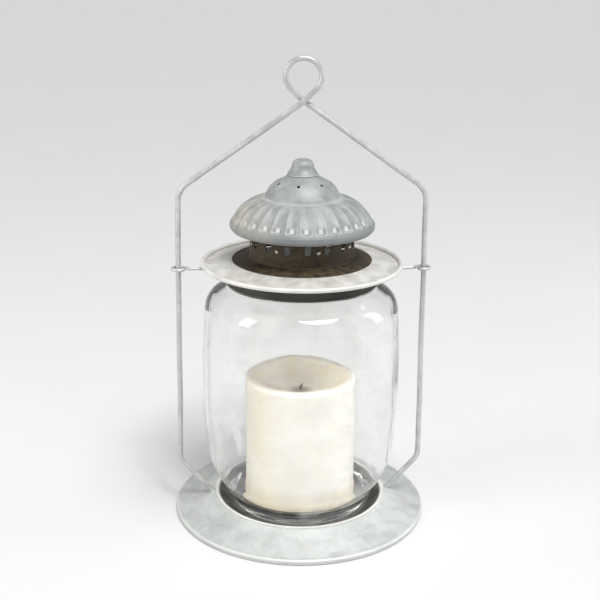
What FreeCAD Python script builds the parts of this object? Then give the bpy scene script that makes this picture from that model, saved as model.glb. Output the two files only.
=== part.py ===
# Hurricane candle lantern: a glass jar globe seated in a zinc-plated base, held by one bent
# wire frame with a hanging loop, and capped by a vented top that slides up the frame legs.
# Units are millimetres. +Z is up, the origin is the centre of the base on the table plane,
# and the wire frame lies along X.
import FreeCAD, Part
import math
import os
from FreeCAD import Vector

os.makedirs("parts", exist_ok=True)

# ---------------------------------------------------------------- driving dimensions
SHEET = 0.7                    # sheet metal thickness
GAP = 0.05                     # gap between sheets that lie on each other
CUT_REACH = 6.0                # how far a cutting tool goes past the wall it cuts
RUN = 0.3                      # gap between bodies that move apart

# base
BASE_R = 87.3                  # outer radius of the base
HEM_SIZE = 3.8                 # outer size of the rolled hem, a rounded square
BASE_WIRE_D = 2.0              # wire inside the base hem
COLLAR_R = 57.4                # inner edge of the raised collar
COLLAR_Z = 12.2                # top of the collar
COLLAR_LIP = 2.2               # width of the flat lip on the collar
COLLAR_STEP = 0.8              # the plate's own lip starts this far outside the pan's
BRIM_RUN = 11.0                # where the cove outside the collar meets the brim
BRIM_DROP = 3.6                # depth of that cove
HEM_LIP = 1.0                  # the sheet's end, turned up inside the hem
PLATE_BENDS = [1.5, 30.0, 3.0, 1.0, 1.0, 1.0]
PAN_FLOOR_R = 48.0             # flat floor of the pan that seats the globe
PAN_FLOOR_Z = 4.8              # top of that floor
PAN_BENDS = [4.0, 1.0]

# wire frame
WIRE_D = 3.6
FOOT_X = 57.6                  # end of the wire, under the base plate
FOOT_Z = 5.7
KNEE_X = 83.9                  # where the foot run meets the leg
KNEE_Z = 35.6
KNEE_BEND = 10.0
SHOULDER_X = 81.6              # where the leg meets the arm
SHOULDER_Z = 227.7
SHOULDER_BEND = 14.0
CROSS_Z = 285.7                # where the two arms cross
CROSS_BEND = 25.0
CROSS_GAP = 0.3                # gap between the arms where they cross
LOOP_R = 11.4                  # hanging loop, to the wire's centre line
LOOP_Z = 301.3
LOOP_CORNERS = 5               # arcs that make the loop
LOOP_BEND = 0.96               # radius of those arcs, as a share of the loop's
FOOT_HEAD_R = 2.9              # peened end that keeps the wire in its hole
FOOT_HEAD_H = 1.0

# glass globe
GLASS_WALL = 3.0               # wall thickness
GLASS_FLOOR = 8.2              # thick bottom of the jar
GLASS_Z0 = PAN_FLOOR_Z + RUN
GLASS_TOP_Z = 178.2
HEEL_R = 45.5                  # foot of the jar
FLARE_R = 63.4                 # where the foot's flare turns into the body
FLARE_Z = 37.5
BODY_R = 67.3                  # widest part of the jar
BODY_Z0 = 72.0
BODY_Z1 = 116.0
SHOULDER_GLASS_R = 64.8        # where the body turns in to the neck
SHOULDER_GLASS_Z = 156.0
NECK_R = 49.0
NECK_Z = 165.0
GLASS_BENDS = [9.0, 45.0, 150.0, 250.0, 14.0, 4.0]

# candle
CANDLE_R = 38.0
CANDLE_TOP_Z = 99.0
POOL_R = 32.5                  # burnt hollow in the top of the candle, at its rim
POOL_FLOOR_R = 22.5
POOL_DEPTH = 12.0
WAX_BENDS = [1.5, 2.0, 2.0, 16.0]
WICK_D = 2.0
WICK_TOP_Z = 91.4
WICK_LEAN = 1.2
TAB_R = 8.0                    # sheet tab that holds the wick's lower end
TAB_T = 0.4

# top tray and its guide eyes
TRAY_R = 67.6
TRAY_HOLE_R = 47.0
TRAY_HOLE_Z = 181.4            # top surface at the hole
TRAY_VALLEY_R = 62.4           # where the tray turns up to its rolled rim
TRAY_VALLEY_Z = 177.3
TRAY_BEAD_R = 1.5              # outer radius of the rolled rim
TRAY_BEND = 8.0
VALLEY_LEVEL = 1.0             # the tray is level from this far inside its valley
ROLL_BEND = 0.98               # radius of the roll's corners, as a share of the roll's
RIM_WIRE_PLAY = 0.1            # the rim wire is thinner than its roll by this much
EYE_WIRE_D = 2.2
EYE_R = 4.1                    # eye, to the wire's centre line
EYE_Z = 174.4
EYE_ROOT_R = 57.0              # where the eye's stem ends under the tray
EYE_NECK = 3.2                 # straight stem that is left before the eye turns
EYE_MOUTH = 28.0               # half of the angle that the eye leaves open, in degrees
EYE_CORNERS = 6                # arcs that make the eye
EYE_BEND = 0.93                # radius of those arcs, as a share of the eye's
EYE_STEM_BEND = 2.0
SLEEVE_R = 50.3                # collar that fits over the neck of the globe
SLEEVE_Z0 = 166.6
SLEEVE_FLANGE = 6.0            # flange soldered under the tray
SLEEVE_FLARE = 1.1             # its lower edge is flared out by this much
SLEEVE_FLARE_H = 1.2
SLEEVE_BENDS = [1.0, 1.0]

# gallery, dome and finial
GALLERY_FLANGE = 3.0           # flange soldered under the tray
GALLERY_FOOT_R = 35.0          # where the gallery's shallow cone turns up into its wall
GALLERY_FOOT_Z = 183.6
GALLERY_TOP_R = 33.6
GALLERY_TOP_Z = 203.0
GALLERY_BENDS = [0.9, 1.5]
SLOT_COUNT = 16
SLOT_W = 4.2
SLOT_Z0 = 192.0
SLOT_Z1 = 201.6
STRAP_COUNT = 8
STRAP_W = 5.0
STRAP_Z0 = 190.0
STRAP_BEND_R = 32.7            # where the strap turns in under the dome
STRAP_BEND_Z = 220.0
STRAP_END_R = 26.0
STRAP_END_Z = 221.8
STRAP_KNEE = 1.8               # the strap leaves the wall this far above its top
STRAP_BENDS = [8.0, 2.0]
RIVET_Z = 193.8
RIVET_R = 1.2
RIVET_HEAD_R = 1.9
RIVET_HEAD_SINK = 0.3          # share of the ball's radius that the head sits into the wall
RIVET_SEAT = 1.1               # head's flat face, in sheets outside the wall's middle
RIVET_TAIL = 2.5               # start of the tail, in sheets inside the wall's middle
RIVET_TURN = 14.0              # degrees from the front to the first rivet
DOME_RIM_R = 48.0
DOME_RIM_Z = 201.9
DOME_SHOULDER_R = 38.5         # where the dome's steep side and its flat top would meet
DOME_SHOULDER_Z = 220.0
DOME_BEND = 24.0
RIM_CURL = 2.0                 # the dome's lower edge turns in by this much
RIM_CURL_H = 1.8               # and over this height
RIM_BAND = 4.2                 # top of the upright band, above that edge
RIM_BENDS = [1.6, 2.0]
SKIRT_LAP = 3.0                # the skirt goes this far in under the bell
BELL_RIM_R = 25.0
BELL_RIM_Z = 223.8
BELL_SHOULDER_R = 21.3
BELL_SHOULDER_Z = 231.2
BELL_NECK_R = 10.2
BELL_NECK_Z = 237.0
BELL_TOP_R = 6.4
BELL_TOP_Z = 240.4
BELL_BENDS = [14.0, 6.0]
VENT_COUNT = 7
VENT_D = 2.5
VENT_R = 17.6                  # radius of the ring of vent holes, on the bell's slope
VENT_TURN = -12.0              # degrees from the front to the first vent hole
KNOB_FOOT_R = 10.0
KNOB_FOOT_Z = 238.3
KNOB_WAIST_Z = 242.4
KNOB_R = 7.2                   # at its waist, from where it tapers to its domed top
KNOB_TAPER = 0.7
KNOB_TOP_Z = 248.3
KNOB_BENDS = [7.0, 4.2]
KNOB_RIVET_D = 3.0
KNOB_HEAD_R = 2.6
KNOB_HEAD_H = 0.3
KNOB_WASHER_R = 7.6
KNOB_WASHER_Z = 237.5
KNOB_WASHER_T = 0.8


# ---------------------------------------------------------------- helpers
def offset_points(points, distance):
    """Corner points of an open outline in (r, z), moved to its left by distance."""
    moved = []
    for i, point in enumerate(points):
        before = points[i] - points[i - 1] if i > 0 else None
        after = points[i + 1] - point if i + 1 < len(points) else None
        sides = [Vector(-d.y, d.x, 0).normalize() for d in (before, after) if d is not None]
        if len(sides) == 1:
            moved.append(point + sides[0] * distance)
            continue
        middle = (sides[0] + sides[1]).normalize()
        moved.append(point + middle * (distance / middle.dot(sides[0])))
    return moved


def rounded_edges(points, bends):
    """Straight runs through points, joined by tangent arcs of the given bend radii."""
    edges = []
    start = points[0]
    for i, bend in enumerate(bends):
        corner = points[i + 1]
        back = (points[i] - corner).normalize()
        ahead = (points[i + 2] - corner).normalize()
        half = back.getAngle(ahead) / 2
        reach = bend / math.tan(half)
        first = corner + back * reach
        last = corner + ahead * reach
        inward = (back + ahead).normalize()
        middle = corner + inward * (bend / math.sin(half) - bend)
        if (first - start).Length > 1e-6:
            edges.append(Part.LineSegment(start, first).toShape())
        edges.append(Part.Arc(first, middle, last).toShape())
        start = last
    edges.append(Part.LineSegment(start, points[-1]).toShape())
    return edges


def section(points):
    """Points given as (radius, height) pairs."""
    return [Vector(r, z, 0) for r, z in points]


def revolved(edges):
    """Turn a closed outline, drawn as radius along X and height along Y, about the Z axis."""
    face = Part.Face(Part.Wire(Part.__sortEdges__(edges)))
    face.rotate(Vector(0, 0, 0), Vector(1, 0, 0), 90)
    return face.revolve(Vector(0, 0, 0), Vector(0, 0, 1), 360)


def spun_sheet(middle_line, bends, thickness=SHEET):
    """A spun or rolled sheet part: its middle line in (r, z), thickened and turned about Z."""
    points = section(middle_line)
    edges = []
    ends = []
    for side in (0.5, -0.5):
        shift = side * thickness
        radii = []
        for i, bend in enumerate(bends):
            into = points[i + 1] - points[i]
            out = points[i + 2] - points[i + 1]
            turn = 1 if into.cross(out).z > 0 else -1
            radii.append(bend - turn * shift)
        moved = offset_points(points, shift)
        edges += rounded_edges(moved, radii)
        ends.append((moved[0], moved[-1]))
    for k in (0, 1):
        edges.append(Part.LineSegment(ends[0][k], ends[1][k]).toShape())
    return revolved(edges)


def spun_solid(outline, bends):
    """A solid turned part: a closed outline in (r, z) that starts and ends on the axis."""
    points = section(outline)
    edges = rounded_edges(points, bends)
    edges.append(Part.LineSegment(points[-1], points[0]).toShape())
    return revolved(edges)


def ring_wire(radius, height, diameter):
    """A closed wire ring lying level."""
    return Part.makeTorus(radius, diameter / 2, Vector(0, 0, height))


def bent_wire(points, bends, diameter):
    """Round wire along straight runs and tangent arcs."""
    path = Part.Wire(rounded_edges(points, bends))
    ahead = points[1] - points[0]
    circle = Part.Circle(points[0], ahead, diameter / 2).toShape()
    return path.makePipeShell([Part.Wire(circle)], True, True)


def turned(shape, degrees):
    """A copy of shape turned about the Z axis."""
    copy = shape.copy()
    copy.rotate(Vector(0, 0, 0), Vector(0, 0, 1), degrees)
    return copy


def polar(shape, count, start):
    """count copies of shape about Z; shape points to the front, and start is in degrees."""
    return [turned(shape, start + 360.0 / count * k) for k in range(count)]


def front_rod(diameter, near, far, height):
    """A rod along the front direction (-Y), from radius near to radius far."""
    return Part.makeCylinder(diameter / 2, far - near, Vector(0, -near, height), Vector(0, -1, 0))


def tray_line(r):
    """Height of the tray's middle surface at radius r, between its hole and its valley."""
    share = (r - TRAY_HOLE_R) / (TRAY_VALLEY_R - TRAY_HOLE_R)
    return TRAY_HOLE_Z - SHEET / 2 + share * (TRAY_VALLEY_Z - TRAY_HOLE_Z)


# ---------------------------------------------------------------- base
def foot_direction(side):
    """Direction of the wire's foot run, from the knee down to its end."""
    return Vector(side * (FOOT_X - KNEE_X), 0, FOOT_Z - KNEE_Z).normalize()


def base_plate():
    lip_z = COLLAR_Z - 1.5 * SHEET - GAP
    hem_mid = BASE_R - SHEET / 2
    hem_in = BASE_R - HEM_SIZE + SHEET / 2
    top = HEM_SIZE - SHEET / 2
    line = [
        (COLLAR_R + COLLAR_STEP, lip_z),
        (COLLAR_R + COLLAR_STEP + COLLAR_LIP, lip_z),
        (COLLAR_R + BRIM_RUN, lip_z - BRIM_DROP),
        (hem_in, top),
        (hem_mid, top),
        (hem_mid, SHEET / 2),
        (hem_in, SHEET / 2),
        (hem_in, top - HEM_LIP),
    ]
    plate = spun_sheet(line, PLATE_BENDS)
    for side in (-1, 1):
        knee = Vector(side * KNEE_X, 0, KNEE_Z)
        run = math.hypot(KNEE_X - FOOT_X, KNEE_Z - FOOT_Z)
        hole = Part.makeCylinder(WIRE_D / 2 + RUN, run, knee, foot_direction(side))
        plate = plate.cut(hole)
    return plate


def base_rim_wire():
    middle = HEM_SIZE / 2
    return ring_wire(BASE_R - middle, middle, BASE_WIRE_D)


def base_pan():
    floor_z = PAN_FLOOR_Z - SHEET / 2
    lip_z = COLLAR_Z - SHEET / 2
    line = [
        (0, floor_z),
        (PAN_FLOOR_R, floor_z),
        (COLLAR_R, lip_z),
        (COLLAR_R + COLLAR_LIP, lip_z),
    ]
    return spun_sheet(line, PAN_BENDS)


# ---------------------------------------------------------------- wire frame
def loop_corners(cross_y):
    """Corners of the hanging loop, which climbs from the front arm round to the back arm."""
    rise = LOOP_Z - CROSS_Z
    first = 90.0 - math.degrees(math.asin(LOOP_R / rise))
    turn = (360.0 - 2 * first) / LOOP_CORNERS
    far = LOOP_R / math.cos(math.radians(turn / 2))
    corners = []
    for k in range(LOOP_CORNERS):
        share = (k + 1) / (LOOP_CORNERS + 1)
        angle = math.radians(first - 90.0 + turn * (k + 0.5))
        y = -cross_y + 2 * cross_y * share
        corners.append(Vector(far * math.cos(angle), y, LOOP_Z + far * math.sin(angle)))
    return corners


def frame_wire():
    cross_y = (WIRE_D + CROSS_GAP) / 2
    left = [
        Vector(-FOOT_X, 0, FOOT_Z),
        Vector(-KNEE_X, 0, KNEE_Z),
        Vector(-SHOULDER_X, 0, SHOULDER_Z),
        Vector(0, -cross_y, CROSS_Z),
    ]
    right = [Vector(-p.x, -p.y, p.z) for p in reversed(left)]
    points = left + loop_corners(cross_y) + right
    side_bends = [KNEE_BEND, SHOULDER_BEND, CROSS_BEND]
    loop_bends = [LOOP_R * LOOP_BEND] * LOOP_CORNERS
    wire = bent_wire(points, side_bends + loop_bends + side_bends[::-1], WIRE_D)
    for side in (-1, 1):
        end = Vector(side * FOOT_X, 0, FOOT_Z)
        head = Part.makeCylinder(FOOT_HEAD_R, FOOT_HEAD_H, end, foot_direction(side))
        wire = wire.fuse(head)
    return wire.removeSplitter()


# ---------------------------------------------------------------- glass globe
def glass_globe():
    outside = section([
        (0, GLASS_Z0),
        (HEEL_R, GLASS_Z0),
        (FLARE_R, FLARE_Z),
        (BODY_R, BODY_Z0),
        (BODY_R, BODY_Z1),
        (SHOULDER_GLASS_R, SHOULDER_GLASS_Z),
        (NECK_R, NECK_Z),
        (NECK_R, GLASS_TOP_Z),
    ])
    heel, *body, neck = GLASS_BENDS
    inner_bends = [heel + GLASS_WALL] + [b - GLASS_WALL for b in body] + [neck + GLASS_WALL]
    inside = offset_points(outside, GLASS_WALL)
    floor_z = GLASS_Z0 + GLASS_FLOOR
    lower = inside[1]
    upper = inside[2]
    share = (floor_z - lower.y) / (upper.y - lower.y)
    inside[0] = Vector(0, floor_z, 0)
    inside[1] = lower + (upper - lower) * share
    edges = rounded_edges(outside, GLASS_BENDS)
    edges += rounded_edges(inside, inner_bends)
    edges.append(Part.LineSegment(outside[-1], inside[-1]).toShape())
    edges.append(Part.LineSegment(inside[0], outside[0]).toShape())
    return revolved(edges)


# ---------------------------------------------------------------- candle
def candle_bottom_z():
    return GLASS_Z0 + GLASS_FLOOR + RUN


def candle_wax():
    bottom = candle_bottom_z()
    outline = [
        (0, bottom),
        (CANDLE_R, bottom),
        (CANDLE_R, CANDLE_TOP_Z),
        (POOL_R, CANDLE_TOP_Z),
        (POOL_FLOOR_R, CANDLE_TOP_Z - POOL_DEPTH),
        (0, CANDLE_TOP_Z - POOL_DEPTH),
    ]
    wax = spun_solid(outline, WAX_BENDS)
    bore = Part.makeCylinder(WICK_D / 2 + GAP, CANDLE_TOP_Z, Vector(0, 0, 0))
    seat = Part.makeCylinder(TAB_R + GAP, TAB_T + GAP, Vector(0, 0, bottom))
    return wax.cut(bore).cut(seat)


def candle_wick():
    start = candle_bottom_z() + TAB_T + GAP
    bend_z = CANDLE_TOP_Z - POOL_DEPTH + WICK_D
    points = [Vector(0, 0, start), Vector(0, 0, bend_z), Vector(WICK_LEAN, 0, WICK_TOP_Z)]
    return bent_wire(points, [2 * WICK_D], WICK_D)


def wick_tab():
    return Part.makeCylinder(TAB_R, TAB_T, Vector(0, 0, candle_bottom_z()))


# ---------------------------------------------------------------- top tray
def top_tray():
    bead_r = TRAY_R - TRAY_BEAD_R
    roll = TRAY_BEAD_R - SHEET / 2
    full = roll * ROLL_BEND
    bead_z = TRAY_VALLEY_Z + TRAY_BEAD_R
    base_z = bead_z - roll
    line = [
        (TRAY_HOLE_R, TRAY_HOLE_Z - SHEET / 2),
        (TRAY_VALLEY_R - VALLEY_LEVEL, base_z),
        (bead_r + roll, base_z),
        (bead_r + roll, bead_z + roll),
        (bead_r - roll, bead_z + roll),
        (bead_r - roll, base_z + SHEET + 5 * GAP),
    ]
    return spun_sheet(line, [TRAY_BEND, full, full, full])


def tray_rim_wire():
    bead_z = TRAY_VALLEY_Z + TRAY_BEAD_R
    wire_d = 2 * (TRAY_BEAD_R - SHEET) - RIM_WIRE_PLAY
    return ring_wire(TRAY_R - TRAY_BEAD_R, bead_z, wire_d)


def neck_sleeve():
    drop = SHEET + GAP
    line = [
        (SLEEVE_R + SLEEVE_FLANGE, tray_line(SLEEVE_R + SLEEVE_FLANGE) - drop),
        (SLEEVE_R, tray_line(SLEEVE_R) - drop),
        (SLEEVE_R, SLEEVE_Z0 + SLEEVE_FLARE_H),
        (SLEEVE_R + SLEEVE_FLARE, SLEEVE_Z0),
    ]
    return spun_sheet(line, SLEEVE_BENDS)


def guide_eye(side):
    """Wire eye that slides on a frame leg: its stem is soldered under the tray."""
    leg_x = SHOULDER_X + (KNEE_X - SHOULDER_X) * (SHOULDER_Z - EYE_Z) / (SHOULDER_Z - KNEE_Z)
    mouth = math.radians(EYE_MOUTH)
    turn = (2 * math.pi - 2 * mouth) / EYE_CORNERS
    far = EYE_R / math.cos(turn / 2)
    neck = leg_x - EYE_R - EYE_NECK
    points = [Vector(side * EYE_ROOT_R, 0, EYE_Z), Vector(side * neck, 0, EYE_Z)]
    for k in range(EYE_CORNERS):
        angle = math.pi - mouth - turn * (k + 0.5)
        x = side * (leg_x + far * math.cos(angle))
        points.append(Vector(x, far * math.sin(angle), EYE_Z))
    last = math.pi + mouth
    points.append(Vector(side * (leg_x + EYE_R * math.cos(last)), EYE_R * math.sin(last), EYE_Z))
    return bent_wire(points, [EYE_STEM_BEND] + [EYE_R * EYE_BEND] * EYE_CORNERS, EYE_WIRE_D)


# ---------------------------------------------------------------- gallery, dome and finial
def gallery():
    drop = SHEET + GAP
    foot_r = TRAY_HOLE_R - SHEET
    line = [
        (foot_r + GALLERY_FLANGE, tray_line(foot_r + GALLERY_FLANGE) - drop),
        (foot_r, tray_line(foot_r) - drop),
        (GALLERY_FOOT_R, GALLERY_FOOT_Z),
        (GALLERY_TOP_R, GALLERY_TOP_Z),
    ]
    wall = spun_sheet(line, GALLERY_BENDS)
    half = SLOT_W / 2
    near = GALLERY_TOP_R - CUT_REACH
    far = GALLERY_TOP_R + CUT_REACH
    height = SLOT_Z1 - SLOT_Z0 - SLOT_W
    straight = Part.makeBox(SLOT_W, far - near, height, Vector(-half, -far, SLOT_Z0 + half))
    ends = [front_rod(SLOT_W, near, far, z) for z in (SLOT_Z0 + half, SLOT_Z1 - half)]
    slot = straight.fuse(ends)
    slots = polar(slot, SLOT_COUNT, RIVET_TURN + 180.0 / SLOT_COUNT)
    rivets = polar(front_rod(2 * RIVET_R, near, far, RIVET_Z), STRAP_COUNT, RIVET_TURN)
    return wall.cut(slots + rivets)


def gallery_radius(height):
    """Radius of the gallery wall's middle surface at a height."""
    share = (height - GALLERY_FOOT_Z) / (GALLERY_TOP_Z - GALLERY_FOOT_Z)
    return GALLERY_FOOT_R + share * (GALLERY_TOP_R - GALLERY_FOOT_R)


def dome_straps():
    """Narrow straps riveted inside the gallery that carry the dome above it."""
    drop = SHEET + 3 * GAP
    knee_z = GALLERY_TOP_Z + STRAP_KNEE
    line = [
        (gallery_radius(STRAP_Z0) - drop, STRAP_Z0),
        (gallery_radius(knee_z) - drop, knee_z),
        (STRAP_BEND_R, STRAP_BEND_Z),
        (STRAP_END_R, STRAP_END_Z),
    ]
    ring = spun_sheet(line, STRAP_BENDS)
    corner = Vector(-STRAP_W / 2, -DOME_RIM_R, STRAP_Z0 - CUT_REACH)
    cutter = Part.makeBox(STRAP_W, DOME_RIM_R, BELL_TOP_Z - STRAP_Z0, corner)
    hole = front_rod(2 * RIVET_R, STRAP_END_R, DOME_RIM_R, RIVET_Z)
    strap = ring.common(cutter).cut(hole)
    return Part.makeCompound(polar(strap, STRAP_COUNT, RIVET_TURN))


def strap_rivets():
    wall_r = gallery_radius(RIVET_Z)
    seat_r = wall_r + RIVET_SEAT * SHEET
    tail_r = wall_r - RIVET_TAIL * SHEET
    shank = front_rod(2 * (RIVET_R - GAP), tail_r, seat_r + GAP, RIVET_Z)
    middle = Vector(0, RIVET_HEAD_R * RIVET_HEAD_SINK - wall_r, RIVET_Z)
    ball = Part.makeSphere(RIVET_HEAD_R, middle)
    size = 2 * RIVET_HEAD_R
    corner = Vector(-RIVET_HEAD_R, -seat_r - size, RIVET_Z - RIVET_HEAD_R)
    outer = Part.makeBox(size, size, size, corner)
    tail = front_rod(2 * RIVET_R + SHEET, tail_r - SHEET, tail_r, RIVET_Z)
    rivet = shank.fuse([ball.common(outer), tail]).removeSplitter()
    return Part.makeCompound(polar(rivet, STRAP_COUNT, RIVET_TURN))


def dome_skirt():
    line = [
        (DOME_RIM_R - RIM_CURL, DOME_RIM_Z),
        (DOME_RIM_R - SHEET / 2, DOME_RIM_Z + RIM_CURL_H),
        (DOME_RIM_R - SHEET / 2, DOME_RIM_Z + RIM_BAND),
        (DOME_SHOULDER_R, DOME_SHOULDER_Z),
        (BELL_RIM_R - SKIRT_LAP, BELL_RIM_Z - 2 * GAP),
    ]
    return spun_sheet(line, RIM_BENDS + [DOME_BEND])


def dome_bell():
    line = [
        (BELL_RIM_R - SHEET / 2, BELL_RIM_Z),
        (BELL_SHOULDER_R, BELL_SHOULDER_Z),
        (BELL_NECK_R, BELL_NECK_Z),
        (BELL_TOP_R, BELL_TOP_Z),
    ]
    bell = spun_sheet(line, BELL_BENDS)
    slope = (BELL_NECK_Z - BELL_SHOULDER_Z) / (BELL_SHOULDER_R - BELL_NECK_R)
    vent_z = BELL_SHOULDER_Z + slope * (BELL_SHOULDER_R - VENT_R)
    outward = Vector(0, -slope, 1).normalize()
    start = Vector(0, -VENT_R, vent_z) - outward * (CUT_REACH / 2)
    vent = Part.makeCylinder(VENT_D / 2, CUT_REACH, start, outward)
    return bell.cut(polar(vent, VENT_COUNT, VENT_TURN))


def finial_knob():
    line = [
        (KNOB_FOOT_R, KNOB_FOOT_Z),
        (KNOB_R, KNOB_WAIST_Z),
        (KNOB_R - KNOB_TAPER, KNOB_TOP_Z - SHEET / 2),
        (KNOB_RIVET_D / 2 + GAP, KNOB_TOP_Z - SHEET / 2),
    ]
    return spun_sheet(line, KNOB_BENDS)


def finial_rivet():
    foot = Vector(0, 0, KNOB_WASHER_Z)
    shank = Part.makeCylinder(KNOB_RIVET_D / 2, KNOB_TOP_Z + KNOB_HEAD_H - KNOB_WASHER_Z, foot)
    head = Part.makeCylinder(KNOB_HEAD_R, KNOB_HEAD_H, Vector(0, 0, KNOB_TOP_Z))
    washer = Part.makeCylinder(KNOB_WASHER_R, KNOB_WASHER_T, foot)
    return shank.fuse([head, washer]).removeSplitter()


# ---------------------------------------------------------------- output
nodes = {
    "base_plate": base_plate(),
    "base_rim_wire": base_rim_wire(),
    "base_pan": base_pan(),
    "frame_wire": frame_wire(),
    "glass_globe": glass_globe(),
    "candle_wax": candle_wax(),
    "candle_wick": candle_wick(),
    "wick_tab": wick_tab(),
    "top_tray": top_tray(),
    "tray_rim_wire": tray_rim_wire(),
    "neck_sleeve": neck_sleeve(),
    "guide_eye_left": guide_eye(-1),
    "guide_eye_right": guide_eye(1),
    "gallery": gallery(),
    "dome_straps": dome_straps(),
    "strap_rivets": strap_rivets(),
    "dome_skirt": dome_skirt(),
    "dome_bell": dome_bell(),
    "finial_knob": finial_knob(),
    "finial_rivet": finial_rivet(),
}
for name, shape in nodes.items():
    box = shape.BoundBox
    print(f"{name:16s} valid={shape.isValid()} solids={len(shape.Solids)} volume={shape.Volume:10.1f}"
          f" x={box.XMin:7.2f}..{box.XMax:6.2f} y={box.YMin:7.2f}..{box.YMax:6.2f}"
          f" z={box.ZMin:7.2f}..{box.ZMax:6.2f}")
    shape.exportStep(f"parts/{name}.step")
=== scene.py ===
import math
import random

import bmesh
import bpy
import numpy as np
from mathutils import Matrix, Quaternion, Vector


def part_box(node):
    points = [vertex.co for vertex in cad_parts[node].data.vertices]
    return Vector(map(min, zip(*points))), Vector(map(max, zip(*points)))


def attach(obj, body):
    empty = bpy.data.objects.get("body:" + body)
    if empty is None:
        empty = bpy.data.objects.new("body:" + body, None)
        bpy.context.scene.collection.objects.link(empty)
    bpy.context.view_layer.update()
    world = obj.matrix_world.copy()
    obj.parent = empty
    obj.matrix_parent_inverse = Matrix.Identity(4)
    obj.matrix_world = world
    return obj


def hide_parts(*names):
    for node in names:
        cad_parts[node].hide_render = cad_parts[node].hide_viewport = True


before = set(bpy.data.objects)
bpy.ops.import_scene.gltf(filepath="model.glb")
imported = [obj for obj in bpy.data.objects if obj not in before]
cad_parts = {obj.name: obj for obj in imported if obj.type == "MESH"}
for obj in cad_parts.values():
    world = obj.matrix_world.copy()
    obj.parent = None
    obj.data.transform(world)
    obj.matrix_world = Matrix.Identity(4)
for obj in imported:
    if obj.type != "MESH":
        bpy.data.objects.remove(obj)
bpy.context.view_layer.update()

# ---------------------------------------------------------------- named sizes, in metres
MM = 0.001
SHEET = 0.7 * MM               # sheet metal thickness
STEP = 0.55 * MM               # spacing of points along a turned outline
SEGMENTS = 288                 # points round a turned sheet piece
GLASS_SEGMENTS = 180
CANDLE_SEGMENTS = 256
KNOB_SEGMENTS = 144
RIVET_SEGMENTS = 96
SHARP = math.radians(38)       # edges between faces that turn more than this stay sharp
WIRE_SHARP = math.radians(50)

FLUTES = 30                    # pressed ribs round the dome
FLUTE_SEGMENTS = 14            # points round the dome for each rib
FLUTE_HEIGHT = 0.75 * MM
FLUTE_FILL = 0.37              # half width of a rib, as a share of the spacing
FLUTE_START_R = 25.5 * MM      # where the ribs begin to rise, under the bell
BEAD_ABOVE_RIM = 6.4 * MM      # lower end of the ribs, above the dome's edge
VENTS = 7
VENT_TURN = math.radians(-12.0)
VENT_RING_R = 17.6 * MM
VENT_R = 1.25 * MM

AXIS = Vector((0, 0, 1))


def low(node):
    """Lowest corner of a CAD node."""
    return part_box(node)[0]


def high(node):
    """Highest corner of a CAD node."""
    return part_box(node)[1]


# ---------------------------------------------------------------- lines and outlines
def bent_line(points, bends, step=STEP):
    """Points along straight runs joined by tangent arcs, evenly spaced. Outlines lie in XZ."""
    corners = [Vector(p) if len(p) == 3 else Vector((p[0], 0, p[1])) for p in points]
    line = [corners[0]]
    for i, bend in enumerate(bends):
        corner = corners[i + 1]
        back = (corners[i] - corner).normalized()
        ahead = (corners[i + 2] - corner).normalized()
        half = back.angle(ahead) / 2
        first = corner + back * (bend / math.tan(half))
        last = corner + ahead * (bend / math.tan(half))
        centre = corner + (back + ahead).normalized() * (bend / math.sin(half))
        arm = first - centre
        axis = arm.cross(last - centre).normalized()
        turn = math.pi - 2 * half
        count = max(3, math.ceil(bend * turn / step))
        add_run(line, first, step)
        for k in range(1, count + 1):
            line.append(centre + Quaternion(axis, turn * k / count) @ arm)
    add_run(line, corners[-1], step)
    return line


def add_run(line, end, step):
    """Extend line to end in even steps."""
    start = line[-1]
    length = (end - start).length
    if length < 1e-7:
        return
    count = max(1, math.ceil(length / step))
    for k in range(1, count + 1):
        line.append(start.lerp(end, k / count))


def line_normals(line):
    """Unit normals to the left of a line in XZ."""
    normals = []
    for i in range(len(line)):
        along = (line[min(i + 1, len(line) - 1)] - line[max(i - 1, 0)]).normalized()
        normals.append(Vector((-along.z, 0, along.x)))
    return normals


def line_lengths(line):
    """Distance along a line at each of its points."""
    lengths = [0.0]
    for a, b in zip(line, line[1:]):
        lengths.append(lengths[-1] + (b - a).length)
    return lengths


class Section:
    """A turned section: points in (r, z), the way each may be lifted, and its distance along."""

    def __init__(self, points, normals, along, closed):
        self.r = np.array([p.x for p in points])
        self.z = np.array([p.z for p in points])
        self.nr = np.array([n.x for n in normals])
        self.nz = np.array([n.z for n in normals])
        self.along = np.array(along)
        self.closed = closed


def sheet_section(points, bends, step=STEP):
    """Section of a bent sheet from its middle line, with rounded edges."""
    line = bent_line(points, bends, step)
    normals = line_normals(line)
    lengths = line_lengths(line)
    half = SHEET / 2
    places, ways, along = [], [], []

    def add(i, across, beyond=0.0):
        tangent = Vector((normals[i].z, 0, -normals[i].x))
        places.append(line[i] + normals[i] * across + tangent * beyond)
        ways.append(normals[i])
        along.append(lengths[i])

    last = len(line) - 1
    for i in range(last + 1):
        add(i, half)
    for degrees in (45, 90, 135):
        turn = math.radians(degrees)
        add(last, half * math.cos(turn), half * math.sin(turn))
    for i in range(last, -1, -1):
        add(i, -half)
    for degrees in (135, 90, 45):
        turn = math.radians(degrees)
        add(0, half * math.cos(turn), -half * math.sin(turn))
    return Section(places, ways, along, True)


def solid_section(points, bends, step):
    """Section of a solid turned part, from its outline, which starts and ends on the axis."""
    line = bent_line(points, bends, step)
    return Section(line, line_normals(line), line_lengths(line), False)


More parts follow.
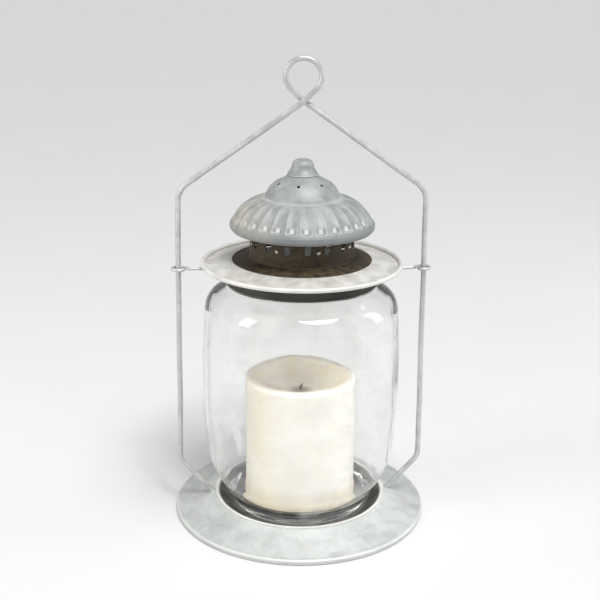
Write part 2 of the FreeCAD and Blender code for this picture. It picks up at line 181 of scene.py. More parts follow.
# ---------------------------------------------------------------- meshes
def make_mesh(name, vertices, faces, sharp=SHARP):
    """A new shaded object from vertices and faces."""
    mesh = bpy.data.meshes.new(name)
    mesh.from_pydata(vertices, [], faces)
    mesh.validate()
    mesh.shade_smooth()
    mesh.set_sharp_from_angle(angle=sharp)
    made = bpy.data.objects.new(name, mesh)
    bpy.context.scene.collection.objects.link(made)
    return made


def turned(name, section, segments=SEGMENTS, lift=None):
    """A section turned about Z. lift(along, r, z, angle) moves points along their normals."""
    angles = np.arange(segments) * 2 * math.pi / segments
    s, a = np.meshgrid(section.along, angles)
    r = np.broadcast_to(section.r, s.shape)
    z = np.broadcast_to(section.z, s.shape)
    raised = lift(s, r, z, a) if lift else np.zeros(s.shape)
    out = r + raised * section.nr
    up = z + raised * section.nz
    count = len(section.r)
    on_axis = section.r < 1e-9
    grid = np.arange(segments * count).reshape(segments, count)
    grid[:, on_axis] = grid[0, on_axis]
    xyz = np.stack([out * np.sin(a), -out * np.cos(a), up], axis=-1).reshape(-1, 3)
    after = np.roll(grid, -1, axis=0)
    stop = count if section.closed else count - 1
    faces = []
    for j in range(stop):
        k = (j + 1) % count
        if on_axis[j] and on_axis[k]:
            continue
        quads = np.stack([grid[:, j], after[:, j], after[:, k], grid[:, k]], axis=-1)
        for quad in quads.tolist():
            faces.append(list(dict.fromkeys(quad)))
    used = sorted({v for face in faces for v in face})
    renumber = {v: i for i, v in enumerate(used)}
    vertices = [tuple(xyz[v]) for v in used]
    faces = [[renumber[v] for v in face] for face in faces]
    made = make_mesh(name, vertices, faces)
    face_outwards(made)
    return made


def face_outwards(made):
    """Turn the mesh's faces so that its volume is positive."""
    mesh = bmesh.new()
    mesh.from_mesh(made.data)
    bmesh.ops.recalc_face_normals(mesh, faces=mesh.faces)
    mesh.to_mesh(made.data)
    mesh.free()


def tube(name, path, radius, sides=28, shape=None):
    """A round rod along a path, with rounded ends. shape(along, angle) scales its radius."""
    lengths = line_lengths(path)
    total = lengths[-1]
    side = (path[1] - path[0]).normalized().orthogonal().normalized()
    rings, centres = [], []
    for i, place in enumerate(path):
        ahead = (path[min(i + 1, len(path) - 1)] - path[max(i - 1, 0)]).normalized()
        side = (side - ahead * side.dot(ahead)).normalized()
        other = ahead.cross(side)
        ends = [(0.0, 1.0)]
        if i == 0:
            ends = [(-0.3, 0.72), (0.0, 1.0)]
        if i == len(path) - 1:
            ends = [(0.0, 1.0), (0.3, 0.72)]
        for push, share in ends:
            ring = []
            centre = place + ahead * push * radius
            for k in range(sides):
                angle = 2 * math.pi * k / sides
                size = radius * share * (shape(lengths[i], total, angle) if shape else 1.0)
                ring.append(centre + (side * math.cos(angle) + other * math.sin(angle)) * size)
            rings.append(ring)
            centres.append(centre)
    vertices = [p for ring in rings for p in ring]
    faces = []
    for i in range(len(rings) - 1):
        for k in range(sides):
            m = (k + 1) % sides
            faces.append([i * sides + k, i * sides + m, (i + 1) * sides + m, (i + 1) * sides + k])
    faces.append(list(range(sides - 1, -1, -1)))
    last = (len(rings) - 1) * sides
    faces.append([last + k for k in range(sides)])
    return make_mesh(name, vertices, faces, WIRE_SHARP)


def wobble(seed, size, rounds, ups):
    """A smooth unevenness over angle and height that closes on itself; size is its height."""
    rng = random.Random(seed)
    waves = []
    for n in rounds:
        for u in ups:
            waves.append((n, u, rng.uniform(0, 2 * math.pi), rng.uniform(0.4, 1.0)))
    scale = size / math.sqrt(sum(w[3] ** 2 for w in waves))

    def field(s, angle):
        total = 0.0
        for n, u, phase, weight in waves:
            total = total + weight * np.sin(n * angle + u * s + phase)
        return total * scale

    return field


def cut_holes(made, rods):
    """Cut each (centre, direction, radius, length) rod out of a mesh."""
    for i, (centre, direction, radius, length) in enumerate(rods):
        path = [centre - direction * length / 2, centre + direction * length / 2]
        cutter = tube(f"cutter_{i}", path, radius, 32)
        change = made.modifiers.new("hole", "BOOLEAN")
        change.operation = "DIFFERENCE"
        change.solver = "EXACT"
        change.object = cutter
        graph = bpy.context.evaluated_depsgraph_get()
        result = bpy.data.meshes.new_from_object(made.evaluated_get(graph))
        made.modifiers.clear()
        old = made.data
        made.data = result
        bpy.data.meshes.remove(old)
        bpy.data.objects.remove(cutter)
    made.data.name = made.name
    made.data.set_sharp_from_angle(angle=SHARP)


# ---------------------------------------------------------------- node materials
class Paint:
    """A node material built up one node at a time, on a Principled shader."""

    def __init__(self, name, **settings):
        self.material = bpy.data.materials.new(name)
        self.material.use_nodes = True
        self.tree = self.material.node_tree
        self.tree.nodes.clear()
        self.output = self.tree.nodes.new("ShaderNodeOutputMaterial")
        self.shader = self.tree.nodes.new("ShaderNodeBsdfPrincipled")
        self.tree.links.new(self.shader.outputs[0], self.output.inputs["Surface"])
        self.place = self.tree.nodes.new("ShaderNodeTexCoord").outputs["Object"]
        for socket, value in settings.items():
            self.set(socket.replace("_", " "), value)

    def set(self, socket, value):
        """Give one of the shader's sockets a value or a node's output."""
        self.feed(self.shader.inputs[socket], value)

    def feed(self, socket, value):
        if isinstance(value, bpy.types.NodeSocket):
            self.tree.links.new(value, socket)
        elif hasattr(value, "__len__") and len(value) == 3 and len(socket.default_value) == 4:
            socket.default_value = (*value, 1.0)
        else:
            socket.default_value = value

    def noise(self, scale, detail=4.0, roughness=0.55, at=None, warp=0.0):
        node = self.tree.nodes.new("ShaderNodeTexNoise")
        self.feed(node.inputs["Vector"], at or self.place)
        self.feed(node.inputs["Scale"], scale)
        self.feed(node.inputs["Detail"], detail)
        self.feed(node.inputs["Roughness"], roughness)
        self.feed(node.inputs["Distortion"], warp)
        return node.outputs["Fac"]

    def cells(self, scale, output="Distance"):
        node = self.tree.nodes.new("ShaderNodeTexVoronoi")
        self.feed(node.inputs["Vector"], self.place)
        self.feed(node.inputs["Scale"], scale)
        return node.outputs[output]

    def maths(self, operation, a, b=0.0, c=0.0):
        node = self.tree.nodes.new("ShaderNodeMath")
        node.operation = operation
        for socket, value in zip(node.inputs, (a, b, c)):
            self.feed(socket, value)
        return node.outputs[0]

    def spread(self, value, start, end, low_to=0.0, high_to=1.0):
        """value from start..end, smoothly mapped to low_to..high_to."""
        node = self.tree.nodes.new("ShaderNodeMapRange")
        node.interpolation_type = "SMOOTHSTEP"
        for socket, given in zip(node.inputs, (value, start, end, low_to, high_to)):
            self.feed(socket, given)
        return node.outputs["Result"]

    def mix(self, share, a, b):
        node = self.tree.nodes.new("ShaderNodeMix")
        node.data_type = "RGBA"
        self.feed(node.inputs["Factor"], share)
        self.feed(node.inputs[6], a)
        self.feed(node.inputs[7], b)
        return node.outputs[2]

    def stretched(self, x, y, z):
        """The object's coordinates, scaled by axis."""
        node = self.tree.nodes.new("ShaderNodeMapping")
        self.feed(node.inputs["Vector"], self.place)
        self.feed(node.inputs["Scale"], (x, y, z))
        return node.outputs[0]

    def parts(self):
        """The x, y and z of the object's coordinates."""
        node = self.tree.nodes.new("ShaderNodeSeparateXYZ")
        self.feed(node.inputs[0], self.place)
        return node.outputs

    def radius(self):
        """Distance from the Z axis."""
        x, y, _ = self.parts()
        squares = self.maths("ADD", self.maths("MULTIPLY", x, x), self.maths("MULTIPLY", y, y))
        return self.maths("SQRT", squares)

    def turned_place(self, across, up, around):
        """Coordinates for marks that run round the Z axis, as on spun or turned metal."""
        x, y, z = self.parts()
        angle = self.maths("ARCTAN2", x, y)
        node = self.tree.nodes.new("ShaderNodeCombineXYZ")
        self.feed(node.inputs[0], self.maths("MULTIPLY", self.radius(), across))
        self.feed(node.inputs[1], self.maths("MULTIPLY", z, up))
        self.feed(node.inputs[2], self.maths("MULTIPLY", self.maths("SINE", angle), around))
        return node.outputs[0]

    def bump(self, height, distance, under=None):
        """Surface relief of a given depth in metres, over an earlier one."""
        node = self.tree.nodes.new("ShaderNodeBump")
        self.feed(node.inputs["Distance"], distance)
        self.feed(node.inputs["Height"], height)
        if under is not None:
            self.feed(node.inputs["Normal"], under)
        return node.outputs[0]

    def worn_edges(self):
        """1 on outer edges, where the surface is most pointed."""
        node = self.tree.nodes.new("ShaderNodeNewGeometry")
        return self.spread(node.outputs["Pointiness"], 0.5, 0.55)


def zinc(name, light, dark, bare, streaks, blotches, gloss, metal):
    """Weathered zinc on spun sheet, painted but not yet closed: finish_zinc ends it."""
    paint = Paint(name, Specular_IOR_Level=0.45)
    paint.mottle = paint.noise(blotches, 6, 0.62, warp=0.4)
    paint.speckle = paint.noise(1300, 3, 0.7)
    paint.rings = paint.noise(1.0, 5, 0.6, paint.turned_place(1400, 1400, 1.2))
    clouds = paint.noise(22, 3, 0.5)
    spangle = paint.cells(210, output="Color")
    colour = paint.mix(paint.spread(paint.mottle, 0.3, 0.7), dark, light)
    colour = paint.mix(paint.spread(spangle, 0.3, 0.8, 0.0, 0.3), colour, dark)
    colour = paint.mix(paint.spread(clouds, 0.5, 0.75, 0.0, 0.4), colour, bare)
    colour = paint.mix(paint.spread(paint.rings, 0.3, 0.75, 0.0, streaks), colour, dark)
    paint.pits = paint.spread(paint.noise(480, 2, 0.5), 0.68, 0.75)
    colour = paint.mix(paint.maths("MULTIPLY", paint.pits, 0.4), colour, [v * 0.5 for v in dark])
    dust = paint.spread(paint.speckle, 0.55, 0.72, 0.0, 0.4)
    colour = paint.mix(dust, colour, [min(1.0, v * 1.2) for v in light])
    paint.colour = paint.mix(paint.worn_edges(), colour, bare)
    paint.set("Metallic", paint.spread(paint.mottle, 0.3, 0.7, metal + 0.1, metal - 0.1))
    paint.set("Roughness", paint.spread(paint.mottle, 0.25, 0.75, gloss, gloss + 0.16))
    return paint


def finish_zinc(paint, relief_share=1.0):
    """Set the colour and the fine relief of a zinc finish."""
    paint.set("Base Color", paint.colour)
    scratches = paint.noise(40, 8, 0.8, paint.stretched(1, 16, 1), warp=1.5)
    relief = paint.bump(paint.mottle, 0.00006 * relief_share)
    relief = paint.bump(paint.rings, 0.00003 * relief_share, relief)
    relief = paint.bump(paint.speckle, 0.00003, relief)
    relief = paint.bump(paint.spread(scratches, 0.62, 0.7), 0.00002, relief)
    relief = paint.bump(paint.pits, -0.00006, relief)
    paint.set("Normal", relief)
    return paint.material


def base_zinc():
    return finish_zinc(zinc("zinc_sheet", (0.59, 0.615, 0.605), (0.47, 0.49, 0.485),
                            (0.69, 0.705, 0.695), 0.22, 75, 0.42, 0.3))


def pan_zinc(lip_r):
    """The pan under the glass: bright on its lip, dark with painted shade inside it."""
    paint = zinc("pan_sheet", (0.62, 0.64, 0.63), (0.48, 0.50, 0.49), (0.72, 0.73, 0.72),
                 0.22, 75, 0.45, 0.3)
    # painted shade: inside its lip the pan is made near black, for the shade round the glass's
    # foot
    pan_painted_shade = paint.mix(paint.spread(paint.mottle, 0.3, 0.7), (0.055, 0.056, 0.052),
                      (0.13, 0.132, 0.125))
    inside = paint.spread(paint.radius(), lip_r + 0.0004, lip_r - 0.0012)
    paint.colour = paint.mix(inside, paint.colour, pan_painted_shade)
    return finish_zinc(paint)


def tray_zinc():
    return finish_zinc(zinc("tray_sheet", (0.72, 0.71, 0.68), (0.58, 0.57, 0.535),
                            (0.84, 0.83, 0.80), 0.25, 85, 0.4, 0.28))


def painted_shade_zinc(sleeve_r):
    """Dark sheet painted for the shade under the tray and inside the dome: near-black grey with
    warmer patches, blacker still inside the sleeve as painted shade.
    """
    paint = zinc("painted_shade_sheet", (0.085, 0.082, 0.076), (0.040, 0.038, 0.035),
                 (0.15, 0.145, 0.13), 0.4, 60, 0.55, 0.2)
    # painted shade: the sleeve's inner face is made darker still
    inside = paint.spread(paint.radius(), sleeve_r - SHEET * 0.2, sleeve_r - SHEET * 0.3)
    paint.colour = paint.mix(inside, paint.colour, paint.mix(paint.mottle, (0.010, 0.009, 0.008),
                                                            (0.030, 0.027, 0.022)))
    return finish_zinc(paint)


def dome_zinc(bead_z, bell_z, bell_r):
    """Greyer, finely speckled sheet: painted shade in the rib valleys, painted highlights on the
    beads, a painted highlight along the step under the bell, painted shade on the plain upright
    ring below the beads, and a warmer tint on the left side of the skirt."""
    paint = zinc("dome_sheet", (0.37, 0.385, 0.39), (0.265, 0.28, 0.285), (0.49, 0.505, 0.505),
                 0.12, 110, 0.5, 0.25)
    x, y, z = paint.parts()
    angle = paint.maths("ARCTAN2", x, paint.maths("MULTIPLY", y, -1.0))
    ribs = paint.maths("COSINE", paint.maths("MULTIPLY", angle, float(FLUTES)))
    # painted shade in the valleys of the ribs
    painted_rib_shade = paint.maths("MULTIPLY", paint.spread(ribs, -0.55, -0.97),
                          paint.spread(paint.radius(), 0.029, 0.037))
    painted_rib_shade = paint.maths("MULTIPLY", painted_rib_shade, paint.spread(z, bead_z - 0.0004, bead_z + 0.0016))
    paint.colour = paint.mix(paint.maths("MULTIPLY", painted_rib_shade, 0.42), paint.colour,
                             (0.17, 0.18, 0.185))
    # painted highlight on the top of each bead
    painted_bead_highlight = paint.maths("MULTIPLY", paint.spread(ribs, 0.3, 0.95),
                         paint.spread(z, bead_z + 0.0044, bead_z + 0.0024))
    painted_bead_highlight = paint.maths("MULTIPLY", painted_bead_highlight, paint.spread(z, bead_z + 0.0001, bead_z + 0.0018))
    painted_bead_highlight = paint.maths("MULTIPLY", painted_bead_highlight, paint.spread(paint.speckle, 0.3, 0.6, 0.6, 0.95))
    paint.colour = paint.mix(painted_bead_highlight, paint.colour, (0.82, 0.83, 0.82))
    # painted shade on the plain upright ring below the beads
    painted_band_shade = paint.maths("MULTIPLY", paint.spread(z, bead_z + 0.001, bead_z - 0.001),
                       paint.spread(z, bead_z - 0.0074, bead_z - 0.0052))
    paint.colour = paint.mix(paint.maths("MULTIPLY", painted_band_shade, 0.6), paint.colour,
                             (0.18, 0.19, 0.195))
    # painted highlight along the step where the bell sits on the skirt
    step = paint.maths("MULTIPLY", paint.spread(z, bell_z + 0.0014, bell_z + 0.0008),
                       paint.spread(paint.radius(), bell_r - 0.0016, bell_r - 0.0008))
    step = paint.maths("MULTIPLY", step, paint.spread(paint.radius(), bell_r + 0.0032,
                                                      bell_r + 0.0012))
    paint.colour = paint.mix(paint.maths("MULTIPLY", step, 0.4), paint.colour,
                             (0.56, 0.575, 0.575))
    # warmer tint on the left side of the skirt
    warm_left_tint = paint.maths("MULTIPLY", paint.spread(x, -0.016, -0.036),
                        paint.spread(paint.noise(55, 4, 0.55), 0.35, 0.6, 0.3, 1.0))
    paint.colour = paint.mix(paint.maths("MULTIPLY", warm_left_tint, 0.4), paint.colour,
                             (0.52, 0.485, 0.41))
    return finish_zinc(paint, 0.8)


def wire_metal():
    """Galvanised wire: a dull even grey coat with faint drawn lines and worn spots."""
    paint = Paint("frame_wire")
    coat = paint.noise(120, 4, 0.5)
    fine = paint.noise(1500, 3, 0.7)
    colour = paint.mix(paint.spread(coat, 0.3, 0.7), (0.50, 0.515, 0.52), (0.60, 0.61, 0.61))
    spots = paint.spread(paint.noise(420, 3, 0.6), 0.66, 0.76, 0.0, 0.35)
    colour = paint.mix(spots, colour, (0.33, 0.33, 0.32))
    colour = paint.mix(paint.spread(fine, 0.6, 0.75, 0.0, 0.3), colour, (0.74, 0.745, 0.74))
    paint.set("Base Color", colour)
    paint.set("Metallic", paint.spread(coat, 0.3, 0.7, 0.55, 0.4))
    paint.set("Roughness", paint.spread(coat, 0.3, 0.7, 0.36, 0.48))
    relief = paint.bump(coat, 0.00003)
    relief = paint.bump(fine, 0.000015, relief)
    paint.set("Normal", relief)
    return paint.material


def rust():
    """Brown rusted sheet with circular streaks, dark pits and a few bare patches."""
    paint = Paint("rusted_sheet", Metallic=0.15)
    patches = paint.noise(130, 7, 0.65, warp=0.8)
    rings = paint.noise(1.0, 5, 0.65, paint.turned_place(900, 900, 2.5))
    grain = paint.noise(1400, 4, 0.75)
    colour = paint.mix(paint.spread(patches, 0.3, 0.7), (0.028, 0.021, 0.013),
                       (0.084, 0.060, 0.031))
    colour = paint.mix(paint.spread(rings, 0.5, 0.78, 0.0, 0.65), colour, (0.155, 0.11, 0.057))
    colour = paint.mix(paint.spread(grain, 0.55, 0.75, 0.0, 0.5), colour, (0.11, 0.068, 0.031))
    bare = paint.spread(paint.noise(230, 4, 0.6, warp=0.5), 0.68, 0.76, 0.0, 0.6)
    colour = paint.mix(bare, colour, (0.23, 0.21, 0.18))
    paint.set("Base Color", colour)
    paint.set("Metallic", paint.spread(patches, 0.3, 0.7, 0.35, 0.05))
    paint.set("Roughness", paint.spread(patches, 0.3, 0.7, 0.5, 0.82))
    relief = paint.bump(patches, 0.00025)
    relief = paint.bump(grain, 0.00009, relief)
    paint.set("Normal", relief)
    return paint.material


def rivet_metal():
    """Bright worn rivet heads with dirt in the hollows."""
    paint = Paint("rivet", Metallic=0.85)
    wear = paint.noise(700, 4, 0.6)
    paint.set("Base Color", paint.mix(paint.spread(wear, 0.35, 0.65), (0.34, 0.32, 0.28),
                                      (0.75, 0.74, 0.70)))
    paint.set("Roughness", paint.spread(wear, 0.3, 0.7, 0.5, 0.28))
    paint.set("Normal", paint.bump(wear, 0.00008))
    return paint.material


def glass(neck_z):
    """Clear pressed glass with wiped smudges and dust below its neck."""
    paint = Paint("clear_glass", IOR=1.5, Base_Color=(0.975, 0.976, 0.972))
    smudge = paint.noise(26, 6, 0.6, paint.stretched(1, 1, 1.8), warp=1.1)
    wiped = paint.noise(70, 5, 0.7, paint.stretched(1, 1, 0.25))
    marks = paint.maths("MULTIPLY", paint.spread(smudge, 0.42, 0.68),
                        paint.spread(wiped, 0.3, 0.65))
    below_neck = paint.spread(paint.parts()[2], neck_z + 0.002, neck_z - 0.01)
    marks = paint.maths("MULTIPLY", marks, below_neck)
    specks = paint.spread(paint.cells(330), 0.10, 0.05)
    few = paint.spread(paint.noise(45, 2, 0.5), 0.55, 0.7)
    film = paint.maths("ADD", paint.maths("MULTIPLY", marks, 0.17),
                       paint.maths("MULTIPLY", paint.maths("MULTIPLY", specks, few), 0.45))
    paint.set("Roughness", paint.spread(marks, 0.0, 1.0, 0.012, 0.14))
    paint.set("Transmission Weight", paint.maths("SUBTRACT", 0.995, film))
    paint.set("Normal", paint.bump(paint.noise(30, 2, 0.4), 0.00015))
    clear = paint.tree.nodes.new("ShaderNodeBsdfTransparent")
    clear.inputs[0].default_value = (0.94, 0.94, 0.935, 1.0)
    path = paint.tree.nodes.new("ShaderNodeLightPath")
    blend = paint.tree.nodes.new("ShaderNodeMixShader")
    paint.feed(blend.inputs[0], path.outputs["Is Shadow Ray"])
    paint.tree.links.new(paint.shader.outputs[0], blend.inputs[1])
    paint.tree.links.new(clear.outputs[0], blend.inputs[2])
    paint.tree.links.new(blend.outputs[0], paint.output.inputs["Surface"])
    return paint.material


def wax(rim_z, hollow_r):
    """Ivory candle wax: milky, faint runs down its side, tan in the burnt hollow with painted
    shade on its floor, and a painted warm glow at its foot.
    """
    paint = Paint("candle_wax", Roughness=0.42, IOR=1.44, Subsurface_Weight=0.45)
    paint.set("Subsurface Radius", (0.009, 0.006, 0.0035))
    paint.set("Subsurface Scale", 1.0)
    cloud = paint.noise(60, 5, 0.55)
    runs = paint.noise(95, 4, 0.5, paint.stretched(1, 1, 0.18))
    grain = paint.noise(900, 3, 0.6)
    colour = paint.mix(paint.spread(cloud, 0.3, 0.7), (0.78, 0.765, 0.71), (0.84, 0.83, 0.79))
    colour = paint.mix(paint.spread(runs, 0.5, 0.75, 0.0, 0.3), colour, (0.86, 0.855, 0.825))
    x, _, z = paint.parts()
    side = paint.maths("MULTIPLY", paint.spread(x, -0.008, -0.034),
                       paint.spread(runs, 0.3, 0.6, 0.6, 1.0))
    colour = paint.mix(paint.maths("MULTIPLY", side, 0.6), colour, (0.80, 0.74, 0.57))
    inside = paint.maths("MULTIPLY",
                         paint.spread(paint.radius(), hollow_r + 0.004, hollow_r - 0.001),
                         paint.spread(z, rim_z - 0.02, rim_z - 0.016))
    tan = paint.mix(paint.spread(paint.noise(140, 5, 0.6), 0.3, 0.7), (0.88, 0.79, 0.62),
                    (0.95, 0.90, 0.76))
    colour = paint.mix(paint.maths("MULTIPLY", inside, 0.85), colour, tan)
    # painted shade on the floor of the hollow, round the wick
    painted_hollow_shade = paint.maths("MULTIPLY", inside, paint.spread(paint.radius(), 0.011, 0.002))
    colour = paint.mix(paint.maths("MULTIPLY", painted_hollow_shade, 0.75), colour, (0.16, 0.13, 0.10))
    # painted warm glow at the candle's foot, for light from the base through the wax
    foot = paint.spread(z, 0.030, 0.016, 0.0, 0.7)
    colour = paint.mix(foot, colour, (0.74, 0.64, 0.46))
    paint.set("Base Color", colour)
    paint.set("Roughness", paint.spread(cloud, 0.3, 0.7, 0.36, 0.52))
    relief = paint.bump(runs, 0.0004)
    relief = paint.bump(cloud, 0.0003, relief)
    relief = paint.bump(grain, 0.00003, relief)
    paint.set("Normal", relief)
    return paint.material


def charred(foot_z, tip_z):
    """Braided wick: waxed cotton at its foot, black char above, ash at the tip."""
    paint = Paint("wick", Roughness=0.85)
    z = paint.parts()[2]
    fibres = paint.noise(1500, 4, 0.7)
    middle = foot_z + (tip_z - foot_z) * 0.3
    colour = paint.mix(paint.spread(z, foot_z, middle), (0.42, 0.33, 0.22), (0.018, 0.015, 0.013))
    ash = paint.maths("MULTIPLY", paint.spread(z, tip_z - 0.0016, tip_z),
                      paint.spread(fibres, 0.45, 0.6))
    paint.set("Base Color", paint.mix(ash, colour, (0.36, 0.34, 0.32)))
    paint.set("Normal", paint.bump(fibres, 0.0002))
    return paint.material


def tin():
    """Dull stamped tin of the wick's tab."""
    paint = Paint("wick_tab", Metallic=0.9)
    dull = paint.noise(300, 4, 0.6)
    paint.set("Base Color", paint.mix(dull, (0.42, 0.42, 0.41), (0.62, 0.62, 0.60)))
    paint.set("Roughness", paint.spread(dull, 0.3, 0.7, 0.35, 0.55))
    paint.set("Normal", paint.bump(dull, 0.00005))
    return paint.material


def finish_piece(piece, body, nodes, material, inner=None):
    """Put a new piece in the frame: its body, the CAD nodes it stands for and finish.
    inner is the finish of the faces that look towards the axis or down."""
    piece.data.materials.clear()
    piece.data.materials.append(material)
    if inner:
        piece.data.materials.append(inner)
        for face in piece.data.polygons:
            outward = Vector((face.center.x, face.center.y, 0)).normalized() + AXIS
            face.material_index = 1 if face.normal.dot(outward) < 0 else 0
    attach(piece, body)
    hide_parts(*nodes)


def keep_node(node, material):
    """Give a CAD node that stays its finish."""
    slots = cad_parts[node].material_slots
    for slot in slots:
        slot.material = material


# ---------------------------------------------------------------- base
HEM = 3.8 * MM                 # outer size of the rolled edge of the base
COLLAR_LIP = 2.2 * MM
COLLAR_STEP = 0.8 * MM         # the plate's lip starts this far outside the pan's
BRIM_RUN = 11 * MM             # where the cove outside the collar meets the brim
BRIM_DROP = 3.6 * MM           # depth of that cove
HEM_LIP = 1 * MM               # the sheet's end, turned up inside the hem
PLATE_BENDS = [b * MM for b in (1.5, 30, 3, 1, 1, 1)]


def base_plate(material):
    """Spun disc with a rolled edge and a raised collar, slightly uneven from use."""
    edge = high("base_plate").x
    collar = high("base_pan").x - COLLAR_LIP
    lip_z = high("base_plate").z - SHEET / 2
    hem_top = HEM - SHEET / 2
    hem_in = edge - HEM + SHEET / 2
    line = [
        (collar + COLLAR_STEP, lip_z),
        (collar + COLLAR_STEP + COLLAR_LIP, lip_z),
        (collar + BRIM_RUN, lip_z - BRIM_DROP),
        (hem_in, hem_top),
        (edge - SHEET / 2, hem_top),
        (edge - SHEET / 2, SHEET / 2),
        (hem_in, SHEET / 2),
        (hem_in, hem_top - HEM_LIP),
    ]
    uneven = wobble(3, 0.16 * MM, (2, 3, 5, 7), (40, 120))
    first, last = collar + 6 * MM, hem_in - 2 * MM

    def lift(s, r, z, angle):
        share = np.clip((r - first) / (last - first), 0, 1)
        return uneven(s, angle) * np.sin(math.pi * share)

    plate = turned("base_plate_spun", sheet_section(line, PLATE_BENDS), lift=lift)
    holes = []
    for side in (-1, 1):
        foot, knee = FOOT.copy(), KNEE.copy()
        foot.x *= side
        knee.x *= side
        holes.append(((foot + knee) / 2, (knee - foot).normalized(), WIRE_R + HOLE_PLAY,
                      (knee - foot).length))
    cut_holes(plate, holes)
    finish_piece(plate, "base", ["base_plate"], material)


# ---------------------------------------------------------------- wire frame
WIRE_R = 1.8 * MM
HOLE_PLAY = 0.3 * MM            # gap round the wire in the base plate
CROSS_GAP = 0.3 * MM           # gap between the arms where they cross
FOOT = Vector((57.6, 0, 5.7)) * MM        # right end of the wire, under the base plate
KNEE = Vector((83.9, 0, 35.6)) * MM
SHOULDER = Vector((81.6, 0, 227.7)) * MM
CROSS_Z = 285.7 * MM
LOOP_R = 11.4 * MM
LOOP_CORNERS = 5
PEEN_R = 2.9 * MM              # flattened end that holds the wire in its hole
PEEN = 1.0 * MM


def loop_corners(cross_y):
    """Corners of the hanging loop, from the front arm round to the back arm."""
    loop_z = high("frame_wire").z - WIRE_R - LOOP_R
    first = math.pi / 2 - math.asin(LOOP_R / (loop_z - CROSS_Z))
    turn = (2 * math.pi - 2 * first) / LOOP_CORNERS
    far = LOOP_R / math.cos(turn / 2)
    corners = []
    for k in range(LOOP_CORNERS):
        angle = first - math.pi / 2 + turn * (k + 0.5)
        y = cross_y * (2 * (k + 1) / (LOOP_CORNERS + 1) - 1)
        corners.append(Vector((far * math.cos(angle), y, loop_z + far * math.sin(angle))))
    return corners


def frame_wire(material):
    """One wire from foot to foot, bent by hand: its long runs are never quite straight."""
    cross_y = WIRE_R + CROSS_GAP / 2
    tip = FOOT + (FOOT - KNEE).normalized() * PEEN
    right = [Vector((0, cross_y, CROSS_Z)), SHOULDER, KNEE, tip]
    left = [Vector((-p.x, -p.y, p.z)) for p in reversed(right)]
    side_bends = [10 * MM, 14 * MM, 25 * MM]
    bends = side_bends + [LOOP_R * 0.96] * LOOP_CORNERS + side_bends[::-1]
    path = bent_line(left + loop_corners(cross_y) + right, bends, 1.0 * MM)
    sway = wobble(5, 0.22 * MM, (0,), (23, 41, 67, 110))
    drift = wobble(6, 0.16 * MM, (0,), (31, 53, 90))
    lengths = line_lengths(path)
    for place, s in zip(path, lengths):
        above_base = min(1.0, max(0.0, (place.z - 0.03) / 0.03))
        place.y += float(sway(s, 0)) * above_base
        place.x += float(drift(s, 0)) * above_base

    def shape(s, total, angle):
        return PEEN_R / WIRE_R if min(s, total - s) < PEEN else 1.0

    wire = tube("frame_wire_bent", path, WIRE_R, 26, shape)
    finish_piece(wire, "base", ["frame_wire"], material)


# ---------------------------------------------------------------- glass
GLASS_WALL = 3.0 * MM
GLASS_FLOOR = 8.2 * MM
GLASS_NECK = 13.2 * MM         # height of the neck


def glass_globe(material):
    """Thick-bottomed jar. Its inner face is a little uneven, as pressed glass is."""
    foot, top = low("glass_globe").z, high("glass_globe").z
    body_r = high("glass_globe").x
    neck_r = body_r - 18.3 * MM
    outside = [
        (0, foot),
        (45.5 * MM, foot),
        (body_r - 3.9 * MM, 37.5 * MM),
        (body_r, 72 * MM),
        (body_r, 116 * MM),
        (body_r - 2.5 * MM, 156 * MM),
        (neck_r, 165 * MM),
        (neck_r, top),
        (neck_r - GLASS_WALL, top),
        (neck_r - GLASS_WALL, 167 * MM),
        (body_r - 5.6 * MM, 154.2 * MM),
        (body_r - GLASS_WALL, 116 * MM),
        (body_r - GLASS_WALL, 72 * MM),
        (body_r - 6.9 * MM, 38.1 * MM),
        (50.2 * MM, foot + GLASS_FLOOR),
        (0, foot + GLASS_FLOOR),
    ]
    wide = [9, 45, 150, 250, 14, 4, 1.45, 1.45, 7, 11, 247, 147, 42, 12]
    section = solid_section(outside, [b * MM for b in wide], 0.9 * MM)
    uneven = wobble(11, 0.14 * MM, (1, 2, 3, 5), (18, 37, 60))
    inner = section.along[int(np.argmax(section.z))]

    def lift(s, r, z, angle):
        wall = np.clip((s - inner - 0.012) / 0.02, 0, 1) * np.clip((z - 0.022) / 0.02, 0, 1)
        punt = 1.6 * MM * np.exp(-(r / (20 * MM)) ** 2) * (z < foot + 0.4 * MM)
        return uneven(s, angle) * wall + punt

    jar = turned("glass_globe_pressed", section, GLASS_SEGMENTS, lift)
    finish_piece(jar, "globe", ["glass_globe"], material)


# ---------------------------------------------------------------- candle
HOLLOW_R = 32.5 * MM           # burnt hollow, at its rim
HOLLOW_FLOOR_R = 22.5 * MM
HOLLOW_DEPTH = 12.0 * MM


